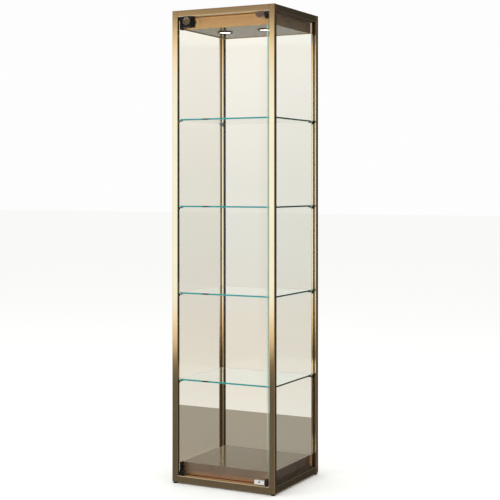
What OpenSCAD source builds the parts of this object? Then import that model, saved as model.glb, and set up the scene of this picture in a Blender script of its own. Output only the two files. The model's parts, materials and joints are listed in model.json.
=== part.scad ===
// Tower showcase: a square-profile metal frame glazed on three sides, with an inset glass door
// hinged on pivots at its right, four glass shelves, a base housing and a lit canopy housing.
// The origin is the centre of the footprint on the floor. +X is right and -Y is the front.

/* [Case] */
// Width of the case over the posts
case_w = 450; // [400:10:600]
// Depth of the case over the posts
case_d = 400; // [360:10:500]
// Height of the case, feet included
case_h = 1860; // [1700:10:2200]

/* [Frame] */
// Side of the rails' square profile
profile = 25; // [24:1:30]
// Width of a post behind its front lip
post_w = 22.5; // [22:0.5:22.5]
// Depth of a post
post_d = 20; // [20:0.5:21]
// Rounding along the profile's edges
edge_r = 2; // [1:0.5:2]
// Distance from the frame's outer face to the middle of a pane
pane_inset = 10; // [9.5:0.5:10.5]
// Depth of the slots that hold the panes
slot_depth = 6.5; // [6:0.25:6.5]

/* [Glass] */
// Thickness of the side and back panes
pane_t = 5; // [4:0.5:5]
// Thickness of the door glass
door_t = 5; // [4:0.5:5]
// Thickness of a shelf
shelf_t = 6; // [4:1:8]

/* [Shelves] */
// Height of the lowest shelf's middle plane
first_shelf_z = 405; // [250:5:420]
// Distance from one shelf to the next
shelf_pitch = 342.5; // [250:2.5:345]
// Gap between a shelf's side and the side pane
shelf_side_gap = 4; // [4:0.5:9]
// Gap between a shelf's front or rear edge and the posts' inner faces
shelf_end_gap = 6.5; // [5:0.5:8]

/* [Housings] */
// How far the base and canopy housings reach past the rails
housing_reach = 47; // [40:1:60]
// Distance from the front rails to the housings' front panels
housing_setback = 13; // [12:1:20]
// Distance from the rear rails' inner faces to the housings' rear panels
housing_rear = 9; // [5:1:11]
// Thickness of the housings' sheet
sheet_t = 1.6; // [1:0.2:2]
// Thickness of the floor panel
floor_t = 12; // [8:1:16]
// Thickness of the ceiling panel
ceiling_t = 10; // [8:1:12]

/* [Lights] */
// Distance of each spot from the middle of the case
spot_x = 91; // [60:1:110]
// Position of the spots from front to back
spot_y = -10; // [-40:5:30]
// Diameter of a spot's bezel
bezel_d = 61; // [58:1:66]
// How far a bezel stands below the ceiling panel
bezel_drop = 3.5; // [2.5:0.5:5]

/* [Door] */
// Gap between the door's free edge and the left post
door_gap_left = 2; // [2:0.5:4]
// Gap between the door's hinged edge and the right post
door_gap_right = 1.5; // [1.5:0.5:3]
// Gap between the bottom rail and the door
door_gap_bottom = 9; // [9:0.5:12]
// Gap between the door and the top rail
door_gap_top = 7; // [7:0.5:9]
// Distance from the right post to the pivot line
pivot_inset = 9; // [8.5:0.5:10]
// Distance from the case's front plane to the pivot line
pivot_setback = 3.5; // [3.5:0.5:5]

/* [Lock] */
// Distance from the left post to the lock's axis
lock_inset = 49; // [48:1:60]
// Distance from the top rail down to the lock's axis
lock_drop = 19; // [17:1:20]
// Width of the lock case
lock_case_w = 36; // [34:1:46]
// Diameter of the lock's front rosette
rosette_d = 32.5; // [28:0.5:34]

/* [Feet] */
// Height of the case's underside above the floor
foot_h = 7; // [7:1:12]
// Diameter of a foot
foot_d = 17; // [14:1:17]

/* [Hidden] */
$fn = 48;

// Colours
BRONZE = [0.62, 0.53, 0.38];
DARK_BRONZE = [0.40, 0.34, 0.26];
TAUPE = [0.55, 0.51, 0.45];
CLEAR = [0.85, 0.90, 0.88, 0.35];
SHELF_GLASS = [0.45, 0.80, 0.78, 0.50];
BLACK = [0.06, 0.06, 0.06];
CHROME = [0.85, 0.86, 0.87];
NICKEL = [0.45, 0.41, 0.37];
STEEL = [0.70, 0.71, 0.72];
LAMP = [1.00, 0.99, 0.94];

// Frame: outer faces, inner faces and profile centres
half_w = case_w / 2;
half_d = case_d / 2;
inner_x = half_w - profile;
inner_y = half_d - profile;
rail_x = half_w - profile / 2;
rail_y = half_d - profile / 2;
face_x = half_w - post_w;
face_y = half_d - post_d;
lip_d = 5;
core_x = half_w - 10;
core_y = half_d - 9;
rail_top = foot_h + profile;
rail_bottom = case_h - profile;
low_axis_z = foot_h + profile / 2;
high_axis_z = case_h - profile / 2;

// Slots, bores and end caps of the profile
cap_t = 1.5;
cap_plug_h = 6;
gasket_t = 0.7;
slot_w = pane_t + 2 * gasket_t;
slot_shift = profile / 2 - pane_inset;
rail_core_r = 4.2;
post_core_r = 3.8;
roof_t = 4;
roof_play = 0.1;
roof_slot_depth = 5;
roof_drop = 5;
roof_notch_gap = 0.5;
gasket_lip = 0.8;

// Anchors that join a rail to a post
anchor_in_rail = 30;
anchor_x_end = inner_x + 8;
anchor_y_end = inner_y + 11;
anchor_screw_r = 2.5;
anchor_screw_back = 15;
anchor_screw_sink = 0.5;
grub_socket_r = 1.4;
grub_socket_h = 2;

// Panes
pane_x = half_w - pane_inset;
pane_y = half_d - pane_inset;
pane_bite = slot_depth - gasket_t;

// Housings
housing_gap = 1;
housing_x = inner_x - housing_gap;
housing_front = -inner_y + housing_setback;
housing_back = inner_y + housing_rear;
housing_step = inner_y - housing_gap;
floor_z = rail_top + housing_reach;
ceiling_z = rail_bottom - housing_reach;
tray_bottom = foot_h + 3;
shell_top = case_h - 10;
panel_play = 0.2;
ceiling_lip = 8;
batten_t = 16;
batten_half = 105;
housing_screw_r = 2;
housing_screw_head_r = 4;
housing_screw_head_h = 2;
housing_screw_y = 135;
housing_screw_in = 7;
low_screw_z = foot_h + 11;
high_screw_z = rail_bottom + 7;
trim_t = 7;
trim_l = 24;
trim_gap = 6;

// Lights
ceiling_under = ceiling_z + sheet_t;
ceiling_upper = ceiling_under + ceiling_t;
lens_r = 24;
lens_play = 0.2;
lens_in = 1;
lens_back = 0.5;
bezel_flare = 4;
bezel_flare_h = 3;
sleeve_r = 27.3;
spot_hole_r = 27.5;
heatsink_r = 26.8;
heatsink_h = 26;
heatsink_base = 6;
fin_gap = 2.4;
fin_pitch = 6;
driver_l = 150;
driver_w = 42;
driver_h = 28;
driver_y = 81;
driver_r = 3;
ear_l = 12;
ear_w = 16;
ear_t = 3;
ear_x = driver_l / 2 + ear_l / 2;
ear_hole_r = 2;
driver_screw_r = 1.9;
driver_screw_head_r = 3.5;
driver_screw_head_h = 2;
wire_r = 2;
wire_z = ceiling_upper + heatsink_h + 11;
lead_shift = 14;
plug_lead = 36;
supply_plug_r = 5;
supply_plug_l = 16;
grommet_y = 150;
grommet_r = 8;
grommet_flange_r = 11;
grommet_flange_t = 2;
grommet_bore_r = 5;
roof_z = case_h - roof_drop - roof_t / 2;

// Shelves and their supports
shelf_x = pane_x - pane_t / 2 - shelf_side_gap;
shelf_y = inner_y - shelf_end_gap;
shelf_corner_r = 3;
support_x = face_x + 4.8;
support_w = 7.4;
support_block = 5;
support_reach = 22;
support_tab_t = 2.5;
support_tab_in = 4;
support_h = 8;
support_pad_t = 1;
support_screw_r = 1.5;
support_screw_in = 6;
support_screw_drop = 6.2;
support_screw_head_r = 2.2;
support_screw_head_h = 1.4;

// Door and hinges
door_left = -inner_x + door_gap_left;
door_right = inner_x - door_gap_right;
door_low = rail_top + door_gap_bottom;
door_high = rail_bottom - door_gap_top;
door_front = -half_d + 0.5;
door_back = door_front + door_t;
pivot_x = inner_x - pivot_inset;
pivot_y = -half_d + pivot_setback;
plate_t = 2;
knuckle_r = 7.2;
knuckle_h = 25;
knuckle_gap = 0.5;
knuckle_end = 8;
pin_r = 2.5;
pin_play = 0.05;
pin_in_rail = 8;
pin_h = 20;
clip_pad_t = 0.5;
clip_wall = 3;
clip_w = 42;
clip_h = 15;
clip_web = 2;
moon_r = 19;
moon_web = 2;
clip_right = pivot_x - knuckle_end;
clip_front = door_front - clip_pad_t - clip_wall;
clip_back = door_back + clip_pad_t + clip_wall;
clip_screw_r = 2;
clip_screw_head_r = 3.6;
clip_screw_head_h = 1.2;
clip_screw_recess = 1.4;
clip_screw_skin = 0.6;
clip_hole_r = 4.5;
low_clip_z = door_low - clip_pad_t - clip_web;
high_clip_z = door_high + clip_pad_t + moon_web;
low_screw_x = clip_right - clip_w / 2;
high_screw_x = clip_right - moon_r;
low_hinge_screw_z = low_clip_z + 9;
high_hinge_screw_z = high_clip_z - 11;
pivot_screw_r = 1.5;
pivot_screw_head_r = 2.6;
pivot_screw_head_h = 1.4;
pivot_screw_in = 7;
pivot_screw_edge = 4;
pivot_screw_y = -half_d + 15;
plate_left = pivot_x - 9;
plate_right = inner_x - 0.2;
plate_front = -half_d + 0.2;
plate_back = -half_d + 20;

// Lock
lock_x = -inner_x + lock_inset;
lock_z = rail_bottom - lock_drop;
lock_case_low = lock_z - 24;
lock_case_high = rail_bottom - 1;
lock_case_front = -half_d - 14;
lock_case_back = -inner_y - 1;
lock_case_r = 3;
lock_slot_play = 0.5;
lock_notch_r = 12;
rosette_t = 3;
plug_r = 7;
plug_play = 0.05;
plug_back = -inner_y + 1;
cam_t = 2.5;
cam_l = 28;
cam_w = 12;
cam_screw_r = 1.8;
cam_screw_head_r = 4;
cam_screw_head_h = 2.5;
cam_screw_l = 8;
key_slot_w = 1.6;
key_slot_h = 8;
key_slot_d = 8;
plug_proud = 0.3;

// Bumpers
bumper_l = 22;
bumper_h = 15;
bumper_in = 1;
bumper_play = 0.2;
bumper_gap = 0.5;

// Feet
socket_flange_r = 8;
socket_flange_t = 1.5;
socket_l = 25;
stem_r = 3;
stem_play = 0.05;
stem_top = foot_h + 23;
foot_gap = 0.5;
foot_chamfer = 1;

// ---------- helpers ----------

// A box from its lowest corner to its highest corner
module box(low, high) {
    translate(low) cube(high - low);
}

// The child at its own place and mirrored to the left
module left_and_right() {
    for (side = [0, 1]) mirror([side, 0, 0]) children();
}

// The child at its own place and mirrored to the front
module rear_and_front() {
    for (side = [0, 1]) mirror([0, side, 0]) children();
}

// The child at all four corners
module at_corners() {
    left_and_right() rear_and_front() children();
}

// A cylinder along X from x0 to x1
module rod_x(x0, x1, y, z, r) {
    translate([x0, y, z]) rotate([0, 90, 0]) cylinder(r = r, h = x1 - x0);
}

// A cylinder along Y from y0 to y1
module rod_y(x, y0, y1, z, r) {
    translate([x, y0, z]) rotate([-90, 0, 0]) cylinder(r = r, h = y1 - y0);
}

// A cylinder along Z from z0 to z1
module rod_z(x, y, z0, z1, r) {
    translate([x, y, z0]) cylinder(r = r, h = z1 - z0);
}

// A rectangle with rounded corners, centred
module rounded_rect(w, h, r) {
    square([w, h - 2 * r], center = true);
    square([w - 2 * r, h], center = true);
    for (sx = [-1, 1], sy = [-1, 1])
        translate([sx * (w / 2 - r), sy * (h / 2 - r)]) circle(r = r);
}

// The middle height of shelf number i, counted from 0
function shelf_z(i) = first_shelf_z + i * shelf_pitch;

// ---------- frame ----------

// Cross-section of a rail, outer face at +x and upper face at +y.
// The pane slot opens downwards and the roof slot opens inwards.
module rail_section(pane_slot, roof_slot) {
    difference() {
        rounded_rect(profile, profile, edge_r);
        circle(r = rail_core_r);
        if (pane_slot)
            translate([slot_shift - slot_w / 2, -profile / 2 - 1]) square([slot_w, slot_depth + 1]);
        if (roof_slot)
            translate([-profile / 2 - 1, profile / 2 - roof_drop - roof_t - roof_play])
                square([roof_slot_depth + 1, roof_t + 2 * roof_play]);
    }
}

// Outline of a post at the rear right corner; lipped widens its outer end to the rails' profile
module post_outline(lipped) {
    translate([half_w - post_w / 2, half_d - post_d / 2]) rounded_rect(post_w, post_d, edge_r);
    if (lipped)
        translate([half_w - profile / 2, half_d - lip_d / 2]) rounded_rect(profile, lip_d, edge_r);
}

// A post at the rear right corner; the other three are mirrored from it.
// A rear post holds the back pane, and the lipped one has a lip beside the door's free edge.
module post(rear, lipped) {
    color(BRONZE) difference() {
        translate([0, 0, foot_h]) linear_extrude(case_h - cap_t - foot_h) difference() {
            post_outline(lipped);
            translate([core_x, core_y]) circle(r = post_core_r);
            translate([pane_x - slot_w / 2, face_y - 1]) square([slot_w, slot_depth + 1]);
            if (rear)
                translate([face_x - 1, pane_y - slot_w / 2]) square([slot_depth + 1, slot_w]);
        }
        for (z = [low_axis_z, high_axis_z]) {
            rod_x(inner_x - 1, anchor_x_end, rail_y, z, rail_core_r);
            rod_y(rail_x, inner_y - 1, anchor_y_end, z, rail_core_r);
        }
        for (i = [0 : 3])
            rod_y(support_x, face_y - 1, face_y + support_screw_in,
                shelf_z(i) - shelf_t / 2 - support_screw_drop, support_screw_r);
    }
}

module post_rear_right() { post(true, false); }
module post_rear_left() { mirror([1, 0, 0]) post(true, false); }
module post_front_right() { mirror([0, 1, 0]) post(false, false); }
module post_front_left() { mirror([1, 0, 0]) mirror([0, 1, 0]) post(false, true); }

// Flush end caps on the posts, with plugs in the posts' cores
module post_caps() {
    color(BRONZE) for (left = [0, 1], front = [0, 1]) mirror([left, 0, 0]) mirror([0, front, 0]) {
        translate([0, 0, case_h - cap_t]) linear_extrude(cap_t)
            post_outline(left == 1 && front == 1);
        rod_z(core_x, core_y, case_h - cap_t - cap_plug_h, case_h, post_core_r);
    }
}

// Radial holes for the grub screws at both ends of a rail along Y, at the right
module side_anchor_holes(z) {
    rear_and_front()
        rod_x(inner_x - 1, rail_x, inner_y - anchor_screw_back, z, anchor_screw_r);
}

// Radial holes for the grub screws at both ends of a rail along X, at the rear
module end_anchor_holes(z) {
    left_and_right()
        rod_y(inner_x - anchor_screw_back, inner_y - 1, rail_y, z, anchor_screw_r);
}

// Holes for the housing screws, in the inner face of a side rail
module side_housing_holes(z) {
    rear_and_front()
        rod_x(inner_x - 1, inner_x + housing_screw_in, housing_screw_y, z, housing_screw_r);
}

// Side rail at the right, between the posts' faces; a corner at each end clears the end rails
module side_rail(z) {
    difference() {
        translate([rail_x, 0, z]) rotate([90, 0, 0])
            linear_extrude(2 * face_y, center = true) children();
        rear_and_front()
            box([inner_x - 1, inner_y, z - profile], [face_x, face_y + 1, z + profile]);
        side_anchor_holes(z);
    }
}

module bottom_side_rail() {
    color(BRONZE) difference() {
        side_rail(low_axis_z) mirror([0, 1]) rail_section(true, false);
        side_housing_holes(low_screw_z);
    }
}

module top_side_rail() {
    color(BRONZE) difference() {
        side_rail(high_axis_z) rail_section(true, true);
        side_housing_holes(high_screw_z);
    }
}

// Rail across the rear, between the posts' faces; the front ones clear the left post's lip
module end_rail(z, front) {
    difference() {
        translate([0, rail_y, z]) rotate([90, 0, 90])
            linear_extrude(2 * face_x, center = true) children();
        if (front) mirror([1, 0, 0])
            box([inner_x, half_d - lip_d, z - profile], [face_x + 1, half_d + 1, z + profile]);
        end_anchor_holes(z);
    }
}

module bottom_end_rail(front) {
    end_rail(low_axis_z, front) mirror([0, 1]) rail_section(!front, false);
}

module top_end_rail(front) {
    end_rail(high_axis_z, front) rail_section(!front, true);
}

module bottom_rail_right() { bottom_side_rail(); }
module bottom_rail_left() { mirror([1, 0, 0]) bottom_side_rail(); }
module top_rail_right() { top_side_rail(); }
module top_rail_left() { mirror([1, 0, 0]) top_side_rail(); }
module bottom_rail_rear() { color(BRONZE) bottom_end_rail(false); }
module top_rail_rear() { color(BRONZE) top_end_rail(false); }

module bottom_rail_front() {
    color(BRONZE) difference() {
        mirror([0, 1, 0]) bottom_end_rail(true);
        rod_z(pivot_x, pivot_y, rail_top - pin_in_rail, rail_top + 1, pin_r);
        for (x = pivot_screw_places())
            rod_z(x, pivot_screw_y, rail_top - pivot_screw_in - 1, rail_top + 1, pivot_screw_r);
    }
}

module top_rail_front() {
    color(BRONZE) difference() {
        mirror([0, 1, 0]) top_end_rail(true);
        rod_z(pivot_x, pivot_y, rail_bottom - 1, rail_bottom + pin_in_rail, pin_r);
        for (x = pivot_screw_places())
            rod_z(x, pivot_screw_y, rail_bottom - 1, rail_bottom + pivot_screw_in + 1, pivot_screw_r);
    }
}

// Round anchors in the rails' cores, reaching into the posts
module rail_anchors() {
    color(STEEL) at_corners() for (z = [low_axis_z, high_axis_z]) {
        rod_x(inner_x - anchor_in_rail, anchor_x_end, rail_y, z, rail_core_r);
        rod_y(rail_x, inner_y - anchor_in_rail, anchor_y_end, z, rail_core_r);
    }
}

// Grub screw with a hexagonal socket, head at its origin, pointing along +Z
module grub_screw(l) {
    difference() {
        cylinder(r = anchor_screw_r, h = l);
        translate([0, 0, -1]) cylinder(r = grub_socket_r, h = grub_socket_h + 1, $fn = 6);
    }
}

module anchor_screws() {
    grub_l = profile / 2 - rail_core_r - anchor_screw_sink;
    color(STEEL) at_corners() for (z = [low_axis_z, high_axis_z]) {
        translate([inner_x + anchor_screw_sink, inner_y - anchor_screw_back, z])
            rotate([0, 90, 0]) grub_screw(grub_l);
        translate([inner_x - anchor_screw_back, inner_y + anchor_screw_sink, z])
            rotate([-90, 0, 0]) grub_screw(grub_l);
    }
}

// Roof sheet, notched round the posts and slid into the rails' inner slots
module roof_panel() {
    bite = roof_slot_depth - roof_play;
    color(DARK_BRONZE) difference() {
        union() {
            box([-inner_x - bite, -inner_y + roof_notch_gap, roof_z - roof_t / 2],
                [inner_x + bite, inner_y - roof_notch_gap, roof_z + roof_t / 2]);
            box([-inner_x + roof_notch_gap, -inner_y - bite, roof_z - roof_t / 2],
                [inner_x - roof_notch_gap, inner_y + bite, roof_z + roof_t / 2]);
        }
        rod_z(0, grommet_y, roof_z - roof_t, roof_z + roof_t, grommet_r);
    }
}

// ---------- fixed glazing ----------

// Side pane at the right
module side_pane() {
    color(CLEAR)
        box([pane_x - pane_t / 2, -face_y - pane_bite, rail_top - pane_bite],
            [pane_x + pane_t / 2, face_y + pane_bite, rail_bottom + pane_bite]);
}

module glass_right() { side_pane(); }
module glass_left() { mirror([1, 0, 0]) side_pane(); }

module glass_back() {
    color(CLEAR)
        box([-face_x - pane_bite, pane_y - pane_t / 2, rail_top - pane_bite],
            [face_x + pane_bite, pane_y + pane_t / 2, rail_bottom + pane_bite]);
}

// Rubber channel round a pane that spans +/- half, with its lip showing past the frame.
// It is drawn for a pane in the X-Z plane, centred on Y.
module gasket_ring(half) {
    difference() {
        box([-half - slot_depth, -slot_w / 2, rail_top - slot_depth],
            [half + slot_depth, slot_w / 2, rail_bottom + slot_depth]);
        box([-half + gasket_lip, -slot_w, rail_top + gasket_lip],
            [half - gasket_lip, slot_w, rail_bottom - gasket_lip]);
        box([-half - pane_bite, -pane_t / 2, rail_top - pane_bite],
            [half + pane_bite, pane_t / 2, rail_bottom + pane_bite]);
    }
}

module glazing_gaskets() {
    color(BLACK) {
        left_and_right() translate([pane_x, 0, 0]) rotate([0, 0, 90]) gasket_ring(face_y);
        translate([0, pane_y, 0]) gasket_ring(face_x);
    }
}

// ---------- housings ----------

// Outline of a housing between two heights: the part past the rails reaches further back
// than the part between them. grow is negative for the inside.
module housing_block(z_mid, z_far, z_end, grow) {
    box([-housing_x - grow, housing_front - grow, min(z_mid, z_far)],
        [housing_x + grow, housing_back + grow, max(z_mid, z_far)]);
    box([-housing_x - grow, housing_front - grow, min(z_mid, z_end)],
        [housing_x + grow, housing_step + grow, max(z_mid, z_end)]);
}

module base_tray() {
    color(BRONZE) difference() {
        housing_block(rail_top, floor_z, tray_bottom, 0);
        box([-housing_x + sheet_t, housing_front + sheet_t, rail_top + sheet_t],
            [housing_x - sheet_t, housing_back - sheet_t, floor_z + 1]);
        box([-housing_x + sheet_t, housing_front + sheet_t, tray_bottom + sheet_t],
            [housing_x - sheet_t, housing_step - sheet_t, rail_top + 2 * sheet_t]);
        left_and_right() rear_and_front()
            rod_x(housing_x - 2 * sheet_t, housing_x + 1, housing_screw_y, low_screw_z,
                housing_screw_r);
    }
}

module floor_panel() {
    edge = sheet_t + panel_play;
    color(TAUPE)
        box([-housing_x + edge, housing_front + edge, floor_z - floor_t],
            [housing_x - edge, housing_back - edge, floor_z]);
}

// Two upright battens under the floor panel
module floor_battens() {
    color(TAUPE) left_and_right()
        box([housing_x - sheet_t - panel_play - batten_t, -batten_half, tray_bottom + sheet_t],
            [housing_x - sheet_t - panel_play, batten_half, floor_z - floor_t]);
}

module canopy_shell() {
    color(BRONZE) difference() {
        housing_block(rail_bottom, ceiling_z, shell_top, 0);
        box([-housing_x + sheet_t, housing_front + sheet_t, ceiling_z + sheet_t],
            [housing_x - sheet_t, housing_back - sheet_t, rail_bottom - sheet_t]);
        box([-housing_x + sheet_t, housing_front + sheet_t, rail_bottom - 2 * sheet_t],
            [housing_x - sheet_t, housing_step - sheet_t, shell_top + 1]);
        box([-housing_x + ceiling_lip, housing_front + ceiling_lip, ceiling_z - 1],
            [housing_x - ceiling_lip, housing_back - ceiling_lip, ceiling_z + 2 * sheet_t]);
        left_and_right() rear_and_front()
            rod_x(housing_x - 2 * sheet_t, housing_x + 1, housing_screw_y, high_screw_z,
                housing_screw_r);
    }
}

module ceiling_panel() {
    edge = sheet_t + panel_play;
    color(TAUPE) difference() {
        box([-housing_x + edge, housing_front + edge, ceiling_under],
            [housing_x - edge, housing_back - edge, ceiling_upper]);
        left_and_right() rod_z(spot_x, spot_y, ceiling_z, ceiling_upper + 1, spot_hole_r);
    }
}

// Pan-head screw with its head's underside at the origin, pointing along +Z
module pan_screw(shank_r, shank_l, head_r, head_h) {
    difference() {
        union() {
            cylinder(r = shank_r, h = shank_l);
            translate([0, 0, -head_h]) cylinder(r = head_r, h = head_h);
        }
        translate([0, 0, -head_h - 1]) cylinder(r = head_r / 2.4, h = head_h / 2 + 1, $fn = 6);
    }
}

// Screws that hold the housings to the rails and the driver to the ceiling panel
module housing_screws() {
    color(STEEL) {
        left_and_right() rear_and_front() for (z = [low_screw_z, high_screw_z])
            translate([housing_x - sheet_t, housing_screw_y, z]) rotate([0, 90, 0])
                pan_screw(housing_screw_r, sheet_t + housing_gap + housing_screw_in,
                    housing_screw_head_r, housing_screw_head_h);
        left_and_right() translate([ear_x, driver_y, ceiling_upper + ear_t]) mirror([0, 0, 1])
            pan_screw(driver_screw_r, ear_t, driver_screw_head_r, driver_screw_head_h);
    }
}

// Trims that close the gaps between the housings' sides and the front posts
module corner_trims() {
    color(BLACK) left_and_right() mirror([0, 1, 0]) for (z = [rail_top, ceiling_z])
        box([housing_x, face_y - trim_gap - trim_l, z],
            [housing_x + trim_t, face_y - trim_gap, z + housing_reach]);
}

// ---------- lights ----------

module spot_bezels() {
    color(DARK_BRONZE) left_and_right() translate([spot_x, spot_y, 0]) difference() {
        union() {
            rod_z(0, 0, ceiling_under - bezel_drop, ceiling_under, bezel_d / 2);
            rod_z(0, 0, ceiling_under, ceiling_upper, sleeve_r);
        }
        rod_z(0, 0, ceiling_under - bezel_drop - 1, ceiling_upper + 1, lens_r + lens_play);
        translate([0, 0, ceiling_under - bezel_drop - 1])
            cylinder(r1 = lens_r + bezel_flare, r2 = lens_r, h = bezel_flare_h + 1);
    }
}

module spot_lenses() {
    color(LAMP) left_and_right()
        rod_z(spot_x, spot_y, ceiling_under - bezel_drop + lens_in, ceiling_under - lens_back,
            lens_r);
}

// Finned heatsink whose lower boss reaches down to the lens
module spot_heatsinks() {
    color(STEEL) left_and_right() translate([spot_x, spot_y, 0]) difference() {
        union() {
            rod_z(0, 0, ceiling_under, ceiling_upper, lens_r);
            rod_z(0, 0, ceiling_upper, ceiling_upper + heatsink_h, heatsink_r);
        }
        for (i = [-3 : 3])
            translate([(i + 0.5) * fin_pitch - fin_gap / 2, -heatsink_r - 1,
                    ceiling_upper + heatsink_base])
                cube([fin_gap, 2 * heatsink_r + 2, heatsink_h]);
    }
}

module led_driver() {
    color("white") translate([0, driver_y, ceiling_upper]) difference() {
        union() {
            linear_extrude(driver_h) rounded_rect(driver_l, driver_w, driver_r);
            linear_extrude(ear_t) rounded_rect(driver_l + 2 * ear_l, ear_w, driver_r);
        }
        left_and_right() rod_z(ear_x, 0, -1, ear_t + 1, ear_hole_r);
    }
}

// A round lead through a list of points, with rounded bends
module lead(points) {
    for (i = [1 : len(points) - 1]) {
        start = points[i - 1];
        run = points[i] - start;
        length = norm(run);
        translate(start)
            rotate([0, acos(run[2] / length), atan2(run[1], run[0])])
                cylinder(r = wire_r, h = length);
        if (i < len(points) - 1) translate(points[i]) sphere(r = wire_r);
    }
}

// A lead from each heatsink to the driver, and the supply lead with its plug
module wiring() {
    driver_mid = ceiling_upper + driver_h / 2;
    driver_top = ceiling_upper + driver_h;
    lead_y = driver_y + lead_shift;
    color(BLACK) {
        left_and_right() lead([
            [spot_x, spot_y, ceiling_upper + heatsink_h],
            [spot_x, spot_y, wire_z],
            [spot_x, lead_y, wire_z],
            [spot_x, lead_y, driver_mid],
            [driver_l / 2, lead_y, driver_mid]
        ]);
        union() {
            lead([[0, driver_y, driver_top], [0, driver_y, wire_z],
                [0, driver_y + plug_lead, wire_z]]);
            rod_y(0, driver_y + plug_lead - 2, driver_y + plug_lead + supply_plug_l - 2, wire_z,
                supply_plug_r);
        }
    }
}

// Ring that lines the cable hole in the roof
module cable_grommet() {
    color(BLACK) translate([0, grommet_y, 0]) difference() {
        union() {
            rod_z(0, 0, roof_z - roof_t / 2, roof_z + roof_t / 2, grommet_r);
            for (z = [roof_z - roof_t / 2 - grommet_flange_t, roof_z + roof_t / 2])
                rod_z(0, 0, z, z + grommet_flange_t, grommet_flange_r);
        }
        rod_z(0, 0, roof_z - 10, roof_z + 10, grommet_bore_r);
    }
}

// ---------- shelves ----------

module shelf(i) {
    color(SHELF_GLASS) translate([0, 0, shelf_z(i) - shelf_t / 2])
        linear_extrude(shelf_t) rounded_rect(2 * shelf_x, 2 * shelf_y, shelf_corner_r);
}

module shelf_1() { shelf(0); }
module shelf_2() { shelf(1); }
module shelf_3() { shelf(2); }
module shelf_4() { shelf(3); }

// A child at each shelf corner of each shelf, drawn for the rear right corner
// with z measured from the shelf's underside
module at_shelf_corners() {
    at_corners() for (i = [0 : 3]) translate([0, 0, shelf_z(i) - shelf_t / 2]) children();
}

// Block screwed to a post's face, with a tab under the shelf's corner
module shelf_supports() {
    tab_top = -support_pad_t;
    color(BLACK) at_shelf_corners() difference() {
        union() {
            box([support_x - support_w / 2, face_y - support_block, tab_top - support_h],
                [support_x + support_w / 2, face_y, tab_top]);
            box([support_x - support_w / 2 - support_tab_in, face_y - support_reach,
                    tab_top - support_tab_t],
                [support_x + support_w / 2, face_y, tab_top]);
        }
        rod_y(support_x, face_y - support_block - 1, face_y + 1,
            -support_screw_drop, support_screw_r);
    }
}

// Soft pads between the tabs and the shelves
module support_pads() {
    color([0.8, 0.8, 0.8, 0.6]) at_shelf_corners()
        box([support_x - support_w / 2 - support_tab_in + 1, face_y - support_reach + 1,
                -support_pad_t],
            [shelf_x - 0.5, inner_y - shelf_end_gap - 1, 0]);
}

module support_screws() {
    color(STEEL) at_shelf_corners()
        translate([support_x, face_y - support_block, -support_screw_drop])
            rotate([-90, 0, 0])
                pan_screw(support_screw_r, support_block + support_screw_in,
                    support_screw_head_r, support_screw_head_h);
}

// ---------- door and hinges ----------

// The lower hinge clip's outline in X-Z, and the upper clip's half-moon
module low_clip_outline(from_y, to_y) {
    box([clip_right - clip_w, from_y, low_clip_z], [clip_right, to_y, low_clip_z + clip_h]);
}

module high_clip_outline(from_y, to_y) {
    centre_z = high_clip_z - moon_web;
    intersection() {
        rod_y(clip_right - moon_r, from_y, to_y, centre_z, moon_r);
        box([clip_right - 2 * moon_r, from_y, centre_z - moon_r], [clip_right, to_y, centre_z]);
    }
    box([clip_right - 2 * moon_r, from_y, centre_z], [clip_right, to_y, high_clip_z]);
}

module door_glass() {
    color(CLEAR) difference() {
        box([door_left, door_front, door_low], [door_right, door_back, door_high]);
        box([clip_right - 0.5, door_front - 1, door_low - 1],
            [door_right + 1, door_back + 1, rail_top + plate_t + knuckle_h + 2.5]);
        box([clip_right - 0.5, door_front - 1, rail_bottom - plate_t - knuckle_h - 2.5],
            [door_right + 1, door_back + 1, door_high + 1]);
        rod_y(low_screw_x, door_front - 1, door_back + 1, low_hinge_screw_z, clip_hole_r);
        rod_y(high_screw_x, door_front - 1, door_back + 1, high_hinge_screw_z, clip_hole_r);
        rod_y(lock_x, door_front - 1, door_back + 1, lock_z, lock_notch_r);
        box([lock_x - lock_notch_r, door_front - 1, lock_z],
            [lock_x + lock_notch_r, door_back + 1, door_high + 1]);
    }
}

// Holes of a clip: the screw's head recess in front and its threaded end behind
module clip_screw_hole(x, z) {
    rod_y(x, clip_front - 1, clip_back - clip_screw_skin, z, clip_screw_r);
    rod_y(x, clip_front - 1, clip_front + clip_screw_recess, z, clip_screw_head_r);
}

module hinge_clip_bottom() {
    color(CHROME) difference() {
        low_clip_outline(clip_front, clip_back);
        box([clip_right - clip_w - 1, door_front - clip_pad_t, door_low - clip_pad_t],
            [clip_right + 1, door_back + clip_pad_t, door_low + clip_h]);
        clip_screw_hole(low_screw_x, low_hinge_screw_z);
    }
}

module hinge_clip_top() {
    color(NICKEL) difference() {
        high_clip_outline(clip_front, clip_back);
        box([clip_right - 2 * moon_r - 1, door_front - clip_pad_t, door_high - 2 * moon_r],
            [clip_right + 1, door_back + clip_pad_t, door_high + clip_pad_t]);
        clip_screw_hole(high_screw_x, high_hinge_screw_z);
    }
}

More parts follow.
